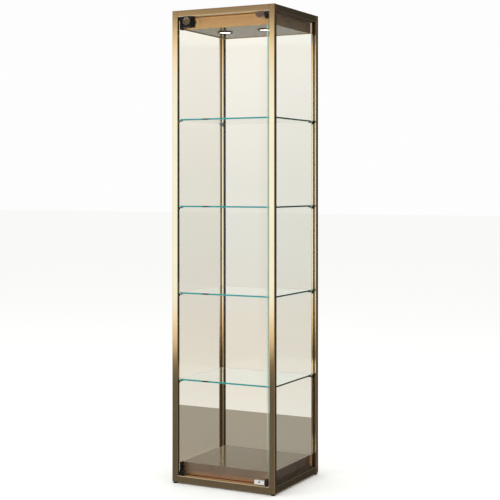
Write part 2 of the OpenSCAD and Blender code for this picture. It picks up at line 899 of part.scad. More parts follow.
// Soft linings between the clips and the glass
module hinge_pads() {
    color([0.8, 0.8, 0.8, 0.6]) {
        difference() {
            intersection() {
                low_clip_outline(door_front - clip_pad_t, door_back + clip_pad_t);
                box([clip_right - clip_w, door_front - clip_pad_t, door_low - clip_pad_t],
                    [clip_right - 0.5, door_back + clip_pad_t, door_low + clip_h]);
            }
            box([clip_right - clip_w - 1, door_front, door_low],
                [clip_right + 1, door_back, door_low + clip_h]);
            rod_y(low_screw_x, clip_front, clip_back, low_hinge_screw_z, clip_screw_r + 0.2);
        }
        difference() {
            intersection() {
                high_clip_outline(door_front - clip_pad_t, door_back + clip_pad_t);
                box([clip_right - 2 * moon_r, door_front - clip_pad_t, door_high - 2 * moon_r],
                    [clip_right - 0.5, door_back + clip_pad_t, door_high + clip_pad_t]);
            }
            box([clip_right - 2 * moon_r - 1, door_front, door_high - 2 * moon_r],
                [clip_right + 1, door_back, door_high]);
            rod_y(high_screw_x, clip_front, clip_back, high_hinge_screw_z, clip_screw_r + 0.2);
        }
    }
}

module hinge_screws() {
    color(STEEL) for (place = [[low_screw_x, low_hinge_screw_z], [high_screw_x, high_hinge_screw_z]])
        translate([place[0], clip_front + clip_screw_recess, place[1]]) rotate([-90, 0, 0])
            pan_screw(clip_screw_r, clip_back - clip_front - clip_screw_recess - clip_screw_skin,
                clip_screw_head_r - 0.1, clip_screw_head_h);
}

// Barrels on the pivot line, each with a tongue to its clip and a blind bore for its pin
module hinge_knuckles() {
    low = rail_top + plate_t + knuckle_gap;
    high = rail_bottom - plate_t - knuckle_gap;
    color(BLACK) {
        difference() {
            union() {
                rod_z(pivot_x, pivot_y, low, low + knuckle_h, knuckle_r);
                box([clip_right, clip_front + 1, low_clip_z + 1],
                    [pivot_x, clip_back - 1, low_clip_z + clip_h - 1]);
            }
            rod_z(pivot_x, pivot_y, low - 1, rail_top + plate_t + pin_h + 1, pin_r + pin_play);
        }
        difference() {
            union() {
                rod_z(pivot_x, pivot_y, high - knuckle_h, high, knuckle_r);
                box([clip_right, clip_front + 1, high_clip_z - clip_h],
                    [pivot_x, clip_back - 1, high_clip_z - 1]);
            }
            rod_z(pivot_x, pivot_y, rail_bottom - plate_t - pin_h - 1, high + 1,
                pin_r + pin_play);
        }
    }
}

// Positions along X of the screws in a pivot plate
function pivot_screw_places() = [plate_left + pivot_screw_edge, plate_right - pivot_screw_edge];

module pivot_plate(z) {
    difference() {
        box([plate_left, plate_front, z], [plate_right, plate_back, z + plate_t]);
        rod_z(pivot_x, pivot_y, z - 1, z + plate_t + 1, pin_r);
        for (x = pivot_screw_places())
            rod_z(x, pivot_screw_y, z - 1, z + plate_t + 1, pivot_screw_r);
    }
}

module pivot_plates() {
    color(STEEL) {
        pivot_plate(rail_top);
        pivot_plate(rail_bottom - plate_t);
    }
}

// Fixed pins pressed through the plates into the rails
module pivot_pins() {
    color(STEEL) {
        rod_z(pivot_x, pivot_y, rail_top - pin_in_rail, rail_top + plate_t + pin_h, pin_r);
        rod_z(pivot_x, pivot_y, rail_bottom - plate_t - pin_h, rail_bottom + pin_in_rail, pin_r);
    }
}

module pivot_screws() {
    color(STEEL) for (x = pivot_screw_places()) {
        translate([x, pivot_screw_y, rail_top + plate_t]) mirror([0, 0, 1])
            pan_screw(pivot_screw_r, plate_t + pivot_screw_in, pivot_screw_head_r,
                pivot_screw_head_h);
        translate([x, pivot_screw_y, rail_bottom - plate_t])
            pan_screw(pivot_screw_r, plate_t + pivot_screw_in, pivot_screw_head_r,
                pivot_screw_head_h);
    }
}

// ---------- lock ----------

// Case that straddles the glass's top edge, bored for the plug
module lock_case() {
    mid_z = (lock_case_low + lock_case_high) / 2;
    color(BLACK) difference() {
        translate([lock_x, lock_case_back, mid_z]) rotate([90, 0, 0])
            linear_extrude(lock_case_back - lock_case_front)
                rounded_rect(lock_case_w, lock_case_high - lock_case_low, lock_case_r);
        box([lock_x - lock_case_w, door_front - lock_slot_play, lock_case_low - 1],
            [lock_x + lock_case_w, door_back + lock_slot_play, door_high + 1]);
        rod_y(lock_x, lock_case_front - 1, lock_case_back + 1, lock_z, plug_r + plug_play);
    }
}

module lock_rosette() {
    color(CHROME) difference() {
        rod_y(lock_x, lock_case_front - rosette_t, lock_case_front, lock_z, rosette_d / 2);
        rod_y(lock_x, lock_case_front - rosette_t - 1, lock_case_front + 1, lock_z,
            plug_r + plug_play);
    }
}

module lock_plug() {
    front = lock_case_front - rosette_t - plug_proud;
    color(CHROME) difference() {
        rod_y(lock_x, front, plug_back, lock_z, plug_r);
        translate([lock_x, front, lock_z])
            cube([key_slot_w, 2 * key_slot_d, key_slot_h], center = true);
        rod_y(lock_x, plug_back - cam_screw_l, plug_back + 1, lock_z, cam_screw_r);
    }
}

// Flat cam, pointing left when the door is unlocked
module lock_cam() {
    color(STEEL) translate([lock_x, plug_back + cam_t, lock_z]) rotate([90, 0, 0])
        linear_extrude(cam_t) difference() {
            union() {
                circle(r = plug_r + 1);
                translate([-cam_l + cam_w / 2, 0]) circle(r = cam_w / 2);
                translate([-cam_l + cam_w / 2, -cam_w / 2]) square([cam_l - cam_w / 2, cam_w]);
            }
            circle(r = cam_screw_r);
        }
}

module cam_screw() {
    color(STEEL) translate([lock_x, plug_back + cam_t, lock_z]) rotate([90, 0, 0])
        pan_screw(cam_screw_r, cam_t + cam_screw_l - 1, cam_screw_head_r, cam_screw_head_h);
}

// Corner stops for the door's free side, below and above the glass
module door_bumpers() {
    left = -inner_x + bumper_in;
    front = -half_d + 1;
    back = -half_d + 16;
    color(BLACK) {
        union() {
            box([left, front, rail_top], [left + bumper_l, back, door_low - bumper_gap]);
            box([left, door_back + bumper_play, rail_top], [left + bumper_l, back, rail_top + bumper_h]);
        }
        union() {
            box([left, front, door_high + bumper_gap], [left + bumper_l, back, rail_bottom]);
            box([left, door_back + bumper_play, rail_bottom - bumper_h],
                [left + bumper_l, back, rail_bottom]);
        }
    }
}

// ---------- feet ----------

// Threaded sockets pressed into the posts' cores from below
module foot_sockets() {
    color(BLACK) at_corners() translate([core_x, core_y, 0]) difference() {
        union() {
            rod_z(0, 0, foot_h - socket_flange_t, foot_h, socket_flange_r);
            rod_z(0, 0, foot_h, foot_h + socket_l, post_core_r);
        }
        rod_z(0, 0, 0, foot_h + socket_l + 1, stem_r + stem_play);
    }
}

// Levelling foot with its threaded stem, at the rear right
module foot() {
    pad_h = foot_h - socket_flange_t - foot_gap;
    color(BLACK) translate([core_x, core_y, 0]) {
        cylinder(r1 = foot_d / 2 - foot_chamfer, r2 = foot_d / 2, h = foot_chamfer);
        rod_z(0, 0, foot_chamfer, pad_h, foot_d / 2);
        rod_z(0, 0, pad_h, stem_top, stem_r);
    }
}

module foot_rear_right() { foot(); }
module foot_rear_left() { mirror([1, 0, 0]) foot(); }
module foot_front_right() { mirror([0, 1, 0]) foot(); }
module foot_front_left() { mirror([1, 0, 0]) mirror([0, 1, 0]) foot(); }

post_front_left();
post_front_right();
post_rear_left();
post_rear_right();
bottom_rail_front();
bottom_rail_rear();
bottom_rail_left();
bottom_rail_right();
top_rail_front();
top_rail_rear();
top_rail_left();
top_rail_right();
post_caps();
rail_anchors();
anchor_screws();
roof_panel();
glass_left();
glass_right();
glass_back();
glazing_gaskets();
base_tray();
floor_panel();
floor_battens();
canopy_shell();
ceiling_panel();
housing_screws();
corner_trims();
spot_bezels();
spot_lenses();
spot_heatsinks();
led_driver();
wiring();
cable_grommet();
shelf_1();
shelf_2();
shelf_3();
shelf_4();
shelf_supports();
support_pads();
support_screws();
door_glass();
hinge_clip_top();
hinge_clip_bottom();
hinge_pads();
hinge_screws();
hinge_knuckles();
pivot_plates();
pivot_pins();
pivot_screws();
lock_case();
lock_rosette();
lock_plug();
lock_cam();
cam_screw();
door_bumpers();
foot_sockets();
foot_front_left();
foot_front_right();
foot_rear_left();
foot_rear_right();
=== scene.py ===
import json
import math

import bmesh
import bpy
from mathutils import Matrix, Vector


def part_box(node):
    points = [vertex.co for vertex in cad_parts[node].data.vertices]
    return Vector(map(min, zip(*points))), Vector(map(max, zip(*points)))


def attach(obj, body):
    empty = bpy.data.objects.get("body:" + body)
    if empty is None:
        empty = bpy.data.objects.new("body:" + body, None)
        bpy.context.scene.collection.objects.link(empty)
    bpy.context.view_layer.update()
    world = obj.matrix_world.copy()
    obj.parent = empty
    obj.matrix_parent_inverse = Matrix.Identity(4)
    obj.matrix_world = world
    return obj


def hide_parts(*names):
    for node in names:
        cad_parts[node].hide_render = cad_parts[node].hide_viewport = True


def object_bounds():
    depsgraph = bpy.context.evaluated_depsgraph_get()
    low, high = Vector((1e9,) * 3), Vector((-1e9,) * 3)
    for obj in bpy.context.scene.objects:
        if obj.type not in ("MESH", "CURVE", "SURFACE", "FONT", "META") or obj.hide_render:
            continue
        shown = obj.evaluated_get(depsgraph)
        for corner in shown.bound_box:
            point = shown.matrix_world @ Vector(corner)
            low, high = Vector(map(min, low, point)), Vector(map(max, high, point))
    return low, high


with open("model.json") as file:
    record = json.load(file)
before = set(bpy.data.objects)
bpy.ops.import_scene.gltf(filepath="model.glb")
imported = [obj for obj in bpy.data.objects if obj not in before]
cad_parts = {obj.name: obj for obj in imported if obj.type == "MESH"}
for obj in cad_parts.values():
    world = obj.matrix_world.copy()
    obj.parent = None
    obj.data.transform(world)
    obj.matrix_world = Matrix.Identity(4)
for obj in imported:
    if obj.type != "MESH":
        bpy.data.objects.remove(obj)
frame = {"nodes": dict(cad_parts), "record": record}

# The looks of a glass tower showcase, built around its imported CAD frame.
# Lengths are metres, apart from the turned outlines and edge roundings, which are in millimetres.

CAD_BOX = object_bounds()
NODES = frame["nodes"]
BODIES = frame["record"]["behaviour"]["bodies"]
BODY_OF = {node: body for body, nodes in BODIES.items() for node in nodes}
MM = 0.001

# ---------- studio values ----------

# The camera looks level, with its picture shifted by a share of its width. The shift holds while the
# camera is within SAME_PLACE of its own place.
CAMERA_PLACE = (2.2528, -4.2773, 1.1765)
CAMERA_TURN = math.radians(27.6)
CAMERA_LENS_MM = 86.95
CAMERA_SENSOR_MM = 36.0
CAMERA_REACH = 200.0
CAMERA_SHIFT = -0.131
SAME_PLACE = 0.01

# The lamps: name, place, what they point at, width and power in watts.
LAMPS = [
    ("key", (-2.4, -3.2, 3.4), (0.0, 0.0, 0.9), 2.2, 55),
    ("top", (0.4, 0.3, 4.2), (0.0, 0.0, 0.0), 2.5, 25),
]

# The softbox stands upright in front of the case, off to the left. Its light is given by height.
SOFTBOX_TOWARD = Vector((-0.477, -0.879, 0.0)).normalized()
SOFTBOX_AWAY = 3.0
SOFTBOX_HALF = 2.2
SOFTBOX_TOP = 3.0
DIM = (0.13, 0.14, 0.15)
WARM = (0.40, 0.40, 0.41)
GOLDEN = (1.00, 1.00, 0.95)
PEACH = (1.25, 1.42, 1.90)
CREAM = (1.20, 1.66, 2.60)
SOFTBOX_LIGHT = [
    (0.00, DIM),
    (0.08, (0.22, 0.22, 0.22)),
    (0.13, WARM),
    (0.18, GOLDEN),
    (0.29, (1.05, 1.08, 1.05)),
    (0.35, PEACH),
    (0.46, CREAM),
    (1.82, CREAM),
    (1.95, PEACH),
    (2.06, (1.14, 1.22, 1.22)),
    (2.13, (0.92, 0.93, 0.80)),
    (2.17, (0.62, 0.60, 0.50)),
    (2.205, (0.44, 0.41, 0.38)),
    (2.25, (0.24, 0.235, 0.27)),
    (3.00, (0.20, 0.20, 0.22)),
]

# What metal mirrors elsewhere, by the direction's sine above the horizon.
SURROUNDINGS = [
    (-1.00, (0.13, 0.13, 0.14)),
    (-0.36, (0.17, 0.18, 0.21)),
    (-0.27, (0.15, 0.165, 0.20)),
    (-0.10, (0.13, 0.14, 0.165)),
    (0.10, (0.16, 0.165, 0.17)),
    (0.30, (0.28, 0.27, 0.26)),
    (1.00, (0.34, 0.33, 0.31)),
]

# Patches of the surroundings: a colour, the level directions of their middles, and the cosines of the
# turns away from a middle at which the patch begins and is full.
CARD = ((0.62, 0.61, 0.60), [(1.0, 0.0), (-1.0, 0.0), (0.0, 1.0)], (0.80, 0.92))
BACK_WALL = ((0.90, 0.88, 0.83), [(-0.46, 0.888)], (0.80, 0.90))
DARK_CORNER = ((0.062, 0.076, 0.110), [(0.46, 0.888), (0.46, -0.888)], (0.80, 0.92))

# The sines above the horizon at which the patches begin and are full: going up, for all of them, and
# coming down, for the card and the wall. The dark corner has no top.
PATCH_FROM_BELOW = (-0.40, -0.32)
PATCH_FROM_ABOVE = (0.30, 0.22)
LEAST_LEVEL = 0.05

# What the eye sees behind everything, and the even light that the room gives.
BACKGROUND = (0.985, 0.985, 0.985)
ROOM_LIGHT = (1.02, 1.02, 1.00)

# The room seen through glass: the wall by the sine above the horizon, and the floor by its Y.
WALL_THROUGH_GLASS = [
    (0.00, (0.845, 0.840, 0.800)),
    (0.03, (0.885, 0.873, 0.825)),
    (0.10, (0.980, 0.960, 0.935)),
    (0.112, (0.980, 0.965, 0.945)),
    (0.117, (1.05, 1.05, 1.03)),
    (0.20, (1.05, 1.05, 1.03)),
]
FLOOR_THROUGH_GLASS = [
    (1.27, (0.77, 0.76, 0.74)),
    (3.3, (0.76, 0.73, 0.69)),
    (15.0, (0.78, 0.78, 0.75)),
    (40.0, (0.80, 0.80, 0.77)),
]

# The strip of dark tiles that glass shows behind the case: where it lies, and from where it is seen.
# That goes by the Z and the Y of the way from the tiles to the eye: none of it, then all of it.
TILES = (0.337, 0.308, 0.262)
TILES_X = (-3.0, 0.6)
TILES_Y = (0.12, 1.27)
TILES_SEEN_Z = (0.31, 0.26)
TILES_SEEN_Y = (-0.60, -0.75)

FLOOR_HALF = 40.0
FLOOR_PAINT = (0.93, 0.93, 0.93)

# ---------- material values ----------

# Noise mostly stays within NOISE_RANGE. A normal's parts add up to 1 on a flat face, and EDGE_SUM is
# where a rounding begins and where it counts in full.
NOISE_RANGE = (0.3, 0.7)
NOISE_ROUGHNESS = 0.55
EDGE_SUM = (1.01, 1.25)

# The bronze. GRAZING_FACING is how far a face turns from the eye before its painted shade begins, and
# where the painted shade is full.
BRONZE = (0.80, 0.53, 0.25)
BRONZE_ROUGHNESS = 0.12
GRAIN_ACROSS = 1100.0
GRAIN_ALONG = 6.0
STREAK_SHARE = 0.25
GRAZING_TINT = (0.24, 0.24, 0.26)
GRAZING_PAINTED_SHADE = (0.030, 0.026, 0.018)
GRAZING_FACING = (0.82, 0.92)
LACQUER = (0.55, 0.54, 0.49)

# Painted light on the faces of the rails that look toward the middle: a painted reflection on the cross
# rails, paler at the top than low down, and painted shade on the side rails; then how far from
# mid-height these faces lie, and how much of the painted colour they take.
TOP_INWARD_PAINTED_LIGHT = (0.80, 0.58, 0.33)
LOW_INWARD_PAINTED_LIGHT = (0.42, 0.25, 0.12)
SIDE_INWARD_PAINTED_SHADE = (0.10, 0.08, 0.05)
MID_HEIGHT = (CAD_BOX[0].z + CAD_BOX[1].z) / 2
INWARD_FROM = 0.6
PAINTED_INWARD_SHARE = 0.85
LOOKS_DOWN = -0.7

# Plastic and rubber.
PLASTIC_GRAIN = 1500.0
PLASTIC_TINT = (1.0, 0.74, 0.48)

# Glass: its index of refraction, and for the panes the tint, the cut edge with its painted glow seen
# from outside and its painted dark seen from inside, and how strongly they mirror.
GLASS_BENDING = 1.5
SIDE_TINT = (0.987, 0.983, 0.961)
DOOR_TINT = (0.975, 0.962, 0.936)
SIDE_CUT = (0.20, 0.42, 0.36)
DOOR_CUT = (0.24, 0.36, 0.25)
CUT_PAINTED_DARK = (0.014, 0.018, 0.010)
CUT_PAINTED_GLOW = 0.25
SIDE_MIRROR = 0.35
DOOR_MIRROR = 0.15

# The band of the door beside its hinge edge with a painted glow for the light from its cut edge, and
# the heights where it fades.
LIT_GLASS = (0.36, 0.62, 0.52)
LIT_WIDTH = 0.008
LIT_FADE = 0.006
LIT_BOTTOM = (0.10, 0.45)
LIT_TOP = (1.79, 1.77)
LIT_SHARE = 0.7

# The shelves: the front edge's painted glow and the side edges' painted dark, a dark patch in the front
# edge that is a painted reflection of a rear post, and the green that light takes on inside.
SHELF_EDGE_PAINTED_GLOW = (0.03, 0.32, 0.32)
SHELF_PAINTED_DARK = (0.020, 0.030, 0.020)
SHELF_PAINTED_EDGE_SHARE = 0.88
SHELF_POST_REFLECTION_X = -0.093
SHELF_POST_REFLECTION_HALF = 0.014
SHELF_SHADOW = (0.93, 0.97, 0.96)
SHELF_GREEN = (0.02, 0.80, 0.82)
SHELF_DENSITY = 6.5

# The LED lenses' light, as seen and as mirrored.
LENS_LIGHT = 2.2
LENS_MIRRORED = 0.5


# ---------- node helpers ----------

def add(tree, kind, inputs=None, **settings):
    """A node of this kind, with its settings made and its inputs set or linked."""
    made = tree.nodes.new(kind)
    for name, value in settings.items():
        setattr(made, name, value)
    for key, value in (inputs or {}).items():
        if isinstance(value, bpy.types.NodeSocket):
            tree.links.new(value, made.inputs[key])
        else:
            made.inputs[key].default_value = value
    return made


def maths(tree, operation, *values, clamp=False):
    """A Math node's result."""
    inputs = dict(enumerate(values))
    return add(tree, "ShaderNodeMath", inputs, operation=operation, use_clamp=clamp).outputs[0]


def product(tree, first, *others):
    """The product of all the values."""
    for other in others:
        first = maths(tree, "MULTIPLY", first, other)
    return first


def rise(tree, value, start, end):
    """0 up to start, 1 from end on, and a straight slope between; end may be the lower of the two."""
    return add(tree, "ShaderNodeMapRange", {0: value, 1: start, 2: end}).outputs[0]


def spread(tree, value, low, high):
    """Noise's usual range brought to low and high."""
    inputs = {0: value, 1: NOISE_RANGE[0], 2: NOISE_RANGE[1], 3: low, 4: high}
    return add(tree, "ShaderNodeMapRange", inputs).outputs[0]


def split(tree, vector):
    """The X, Y and Z of a vector."""
    return tuple(add(tree, "ShaderNodeSeparateXYZ", {0: vector}).outputs)


def opaque(colour):
    """The colour with full alpha."""
    return (*colour, 1.0)


def toned(colour, factor, lift=0.0):
    """The colour made lighter or darker by a factor, then lifted; no part goes above 1."""
    return tuple(min(1.0, part * factor + lift) for part in colour)


def blend_colours(tree, factor, first, second):
    """The colour between first and second, each a colour or a socket."""
    made = tree.nodes.new("ShaderNodeMix")
    made.data_type = "RGBA"
    for socket, value in ((made.inputs[0], factor), (made.inputs[6], first), (made.inputs[7], second)):
        if isinstance(value, bpy.types.NodeSocket):
            tree.links.new(value, socket)
        elif isinstance(value, tuple):
            socket.default_value = opaque(value)
        else:
            socket.default_value = value
    return made.outputs[2]


def ramp(tree, value, stops):
    """A colour that follows value from stop to stop; stops are (value, colour)."""
    lowest, highest = stops[0][0], stops[-1][0]
    made = add(tree, "ShaderNodeValToRGB", {0: rise(tree, value, lowest, highest)})
    points = made.color_ramp.elements
    points.remove(points[1])
    points[0].position = 0.0
    points[0].color = opaque(stops[0][1])
    for at, colour in stops[1:]:
        points.new((at - lowest) / (highest - lowest)).color = opaque(colour)
    return made.outputs[0]


def mixed(tree, share, first, second):
    """A shader between first, at share 0, and second, at share 1."""
    return add(tree, "ShaderNodeMixShader", {0: share, 1: first, 2: second}).outputs[0]


def diffuse(tree, colour):
    """A dull paint."""
    return add(tree, "ShaderNodeBsdfDiffuse", {0: opaque(colour)}).outputs[0]


def glow(tree, colour):
    """A shader that gives light of this colour; the colour may be a socket."""
    if isinstance(colour, tuple):
        colour = opaque(colour)
    return add(tree, "ShaderNodeEmission", {0: colour, 1: 1.0}).outputs[0]


def place_here(tree):
    """The shaded point's place."""
    return add(tree, "ShaderNodeNewGeometry").outputs["Position"]


def own_place(tree):
    """The shaded point's place in the piece's own frame, which moves with the piece."""
    return add(tree, "ShaderNodeTexCoord").outputs["Object"]


def own_normal(tree):
    """The face's normal in the piece's own frame, which turns with the piece."""
    normal = add(tree, "ShaderNodeNewGeometry").outputs["True Normal"]
    return add(
        tree, "ShaderNodeVectorTransform", {0: normal},
        vector_type="NORMAL", convert_from="WORLD", convert_to="OBJECT",
    ).outputs[0]


def from_inside(tree):
    """1 where a face is met from inside the solid, 0 where it is met from outside."""
    return add(tree, "ShaderNodeNewGeometry").outputs["Backfacing"]


def noise(tree, scale, detail):
    """Noise that rides with the piece; scale is cycles per metre along X, Y and Z."""
    mapped = add(tree, "ShaderNodeMapping", {0: own_place(tree), 3: scale}).outputs[0]
    inputs = {"Vector": mapped, "Scale": 1.0, "Detail": detail, "Roughness": NOISE_ROUGHNESS}
    return add(tree, "ShaderNodeTexNoise", inputs).outputs["Fac"]


def edge_share(tree):
    """How far a face's normal is from the piece's main axes: 0 on flat faces, 1 on roundings."""
    size = add(tree, "ShaderNodeVectorMath", {0: own_normal(tree)}, operation="ABSOLUTE").outputs[0]
    summed = add(tree, "ShaderNodeVectorMath", {0: size, 1: (1, 1, 1)}, operation="DOT_PRODUCT")
    return rise(tree, summed.outputs["Value"], *EDGE_SUM)


def shares_seen(tree):
    """Two shares: 1 for rays that the camera sees by, and 1 for those that came through glass."""
    path = add(tree, "ShaderNodeLightPath")
    bent = path.outputs["Is Transmission Ray"]
    seen = maths(tree, "MAXIMUM", path.outputs["Is Camera Ray"], bent)
    past_panes = maths(tree, "GREATER_THAN", path.outputs["Transparent Depth"], 0.5)
    return seen, product(tree, seen, maths(tree, "MAXIMUM", past_panes, bent))


def share_mirrored(tree):
    """1 for rays thrown back by a glossy face, 0 for the rest."""
    path = add(tree, "ShaderNodeLightPath")
    return product(tree, path.outputs["Is Glossy Ray"], path.outputs["Is Reflection Ray"])


def new_material(name):
    """A material with an empty tree, and the tree."""
    material = bpy.data.materials.new(name)
    material.use_nodes = True
    material.node_tree.nodes.clear()
    return material, material.node_tree


def ended(material, shader):
    """The material, with the shader as its surface."""
    add(material.node_tree, "ShaderNodeOutputMaterial", {0: shader})
    return material


# ---------- studio ----------

def toward(tree, direction, middles, cosines):
    """1 for directions near one of the level middles, 0 away from them."""
    x, y, z = direction
    level = maths(tree, "SQRT", maths(tree, "SUBTRACT", 1.0, maths(tree, "POWER", z, 2.0)))
    level = maths(tree, "MAXIMUM", level, LEAST_LEVEL)
    near = -1.0
    for middle_x, middle_y in middles:
        along = maths(tree, "ADD", product(tree, x, middle_x), product(tree, y, middle_y))
        near = maths(tree, "MAXIMUM", near, maths(tree, "DIVIDE", along, level))
    return rise(tree, near, *cosines)


def build_world():
    """White for sight, even light for the room, and a dim room for what the metal mirrors."""
    world = bpy.data.worlds.new("studio")
    bpy.context.scene.world = world
    world.use_nodes = True
    world.cycles.sampling_method = "NONE"
    tree = world.node_tree
    tree.nodes.clear()
    direction = split(tree, add(tree, "ShaderNodeTexCoord").outputs["Generated"])
    height = direction[2]
    low = rise(tree, height, *PATCH_FROM_BELOW)
    high = rise(tree, height, *PATCH_FROM_ABOVE)
    level = product(tree, low, high)
    mirrored = ramp(tree, height, SURROUNDINGS)
    for (colour, middles, cosines), heights in ((CARD, level), (BACK_WALL, level), (DARK_CORNER, low)):
        share = product(tree, toward(tree, direction, middles, cosines), heights)
        mirrored = blend_colours(tree, share, mirrored, colour)
    seen, glazed = shares_seen(tree)
    shown = blend_colours(tree, seen, ROOM_LIGHT, BACKGROUND)
    shown = blend_colours(tree, glazed, shown, ramp(tree, height, WALL_THROUGH_GLASS))
    shown = blend_colours(tree, share_mirrored(tree), shown, mirrored)
    light = add(tree, "ShaderNodeBackground", {0: shown, 1: 1.0})
    add(tree, "ShaderNodeOutputWorld", {0: light.outputs[0]})


def stage_sheet(name, corners, material):
    """A flat sheet of the studio, which isn't part of the showcase."""
    mesh = bpy.data.meshes.new(name)
    mesh.from_pydata(corners, [], [(0, 1, 2, 3)])
    mesh.materials.append(material)
    sheet = bpy.data.objects.new(name, mesh)
    bpy.context.scene.collection.objects.link(sheet)
    return sheet


def within(tree, value, limits):
    """1 between the two limits, 0 outside them."""
    above = maths(tree, "GREATER_THAN", value, limits[0])
    return product(tree, above, maths(tree, "LESS_THAN", value, limits[1]))


def build_floor():
    """A wide pale floor that metal doesn't mirror, with plain tiles where glass shows it."""
    material, tree = new_material("studio_floor")
    x, y, _ = split(tree, place_here(tree))
    _, back_y, back_z = split(tree, add(tree, "ShaderNodeNewGeometry").outputs["Incoming"])
    tiled = product(
        tree, within(tree, x, TILES_X), within(tree, y, TILES_Y),
        rise(tree, back_z, *TILES_SEEN_Z), rise(tree, back_y, *TILES_SEEN_Y),
    )
    behind = blend_colours(tree, tiled, ramp(tree, y, FLOOR_THROUGH_GLASS), TILES)
    _, glazed = shares_seen(tree)
    colour = blend_colours(tree, glazed, FLOOR_PAINT, behind)
    ended(material, add(tree, "ShaderNodeBsdfDiffuse", {0: colour}).outputs[0])
    far = FLOOR_HALF
    corners = [(-far, -far, 0), (far, -far, 0), (far, far, 0), (-far, far, 0)]
    floor = stage_sheet("studio_floor", corners, material)
    floor.visible_glossy = False


def build_softbox():
    """An upright lit sheet that only shows in reflections."""
    material, tree = new_material("softbox")
    strongest = max(max(colour) for _, colour in SOFTBOX_LIGHT)
    stops = [(at, toned(colour, 1 / strongest)) for at, colour in SOFTBOX_LIGHT]
    colour = ramp(tree, split(tree, place_here(tree))[2], stops)
    ended(material, add(tree, "ShaderNodeEmission", {0: colour, 1: strongest}).outputs[0])
    material.cycles.emission_sampling = "NONE"
    middle = SOFTBOX_TOWARD * SOFTBOX_AWAY
    side = Vector((-SOFTBOX_TOWARD.y, SOFTBOX_TOWARD.x, 0)) * SOFTBOX_HALF
    top = Vector((0, 0, SOFTBOX_TOP))
    corners = [middle - side, middle + side, middle + side + top, middle - side + top]
    softbox = stage_sheet("softbox", corners, material)
    softbox.visible_camera = False
    softbox.visible_diffuse = False
    softbox.visible_transmission = False
    softbox.visible_volume_scatter = False
    softbox.visible_shadow = False


def build_lamps():
    """Large soft lamps that metal and glass don't show."""
    for name, place, target, size, power in LAMPS:
        data = bpy.data.lights.new(name, "AREA")
        data.size = size
        data.energy = power
        lamp = bpy.data.objects.new(name, data)
        lamp.location = place
        lamp.rotation_euler = (Vector(target) - Vector(place)).to_track_quat("-Z", "Y").to_euler()
        lamp.visible_glossy = False
        lamp.visible_camera = False
        lamp.visible_transmission = False
        bpy.context.scene.collection.objects.link(lamp)


def build_camera():
    """A level view, with the picture plane shifted down instead of a tilt."""
    data = bpy.data.cameras.new("camera")
    data.lens = CAMERA_LENS_MM
    data.sensor_width = CAMERA_SENSOR_MM
    data.clip_end = CAMERA_REACH
    camera = bpy.data.objects.new("camera", data)
    camera.location = CAMERA_PLACE
    camera.rotation_euler = (math.pi / 2, 0, CAMERA_TURN)
    bpy.context.scene.collection.objects.link(camera)
    bpy.context.scene.camera = camera
    # The shift holds only at this place, so that views from elsewhere stay centred.
    driver = data.driver_add("shift_y").driver
    driver.type = "SCRIPTED"
    distances = []
    for name, axis, place in zip(("px", "py", "pz"), ("LOC_X", "LOC_Y", "LOC_Z"), CAMERA_PLACE):
        variable = driver.variables.new()
        variable.name = name
        variable.type = "TRANSFORMS"
        variable.targets[0].id = camera
        variable.targets[0].transform_type = axis
        variable.targets[0].transform_space = "WORLD_SPACE"
        distances.append(f"fabs({name} - ({place}))")
    driver.expression = f"{CAMERA_SHIFT} if {' + '.join(distances)} < {SAME_PLACE} else 0.0"


def set_light_paths():
    """Enough bounces for four shelves and three panes in a row, and colours shown as they are."""
    scene = bpy.context.scene
    scene.view_settings.view_transform = "Standard"
    scene.cycles.max_bounces = 20
    scene.cycles.transmission_bounces = 20
    scene.cycles.glossy_bounces = 8
    scene.cycles.transparent_max_bounces = 32
    scene.cycles.use_denoising = True


# ---------- materials ----------

def principled(tree, values, bump, bump_size, bump_strength):
    """A Principled shader with these values and a bump as high as bump_size."""
    inputs = {"Height": bump, "Distance": bump_size, "Strength": bump_strength}
    values["Normal"] = add(tree, "ShaderNodeBump", inputs).outputs[0]
    return add(tree, "ShaderNodeBsdfPrincipled", values).outputs[0]


def with_painted_face_light(tree, metal, inward_painted_light, under_painted_light):
    """The metal, with painted light on faces that look toward mid-height or down: painted reflections
    and painted shade in place of what the metal mirrors there.
    """
    facing = split(tree, add(tree, "ShaderNodeNewGeometry").outputs["True Normal"])[2]
    if inward_painted_light:
        to_middle = maths(tree, "SUBTRACT", MID_HEIGHT, split(tree, place_here(tree))[2])
        looks_inward = maths(tree, "GREATER_THAN", product(tree, facing, to_middle), INWARD_FROM)
        metal = mixed(tree, product(tree, looks_inward, PAINTED_INWARD_SHARE), metal, diffuse(tree, inward_painted_light))
    if under_painted_light:
        metal = mixed(tree, maths(tree, "LESS_THAN", facing, LOOKS_DOWN), metal, diffuse(tree, under_painted_light))
    return metal


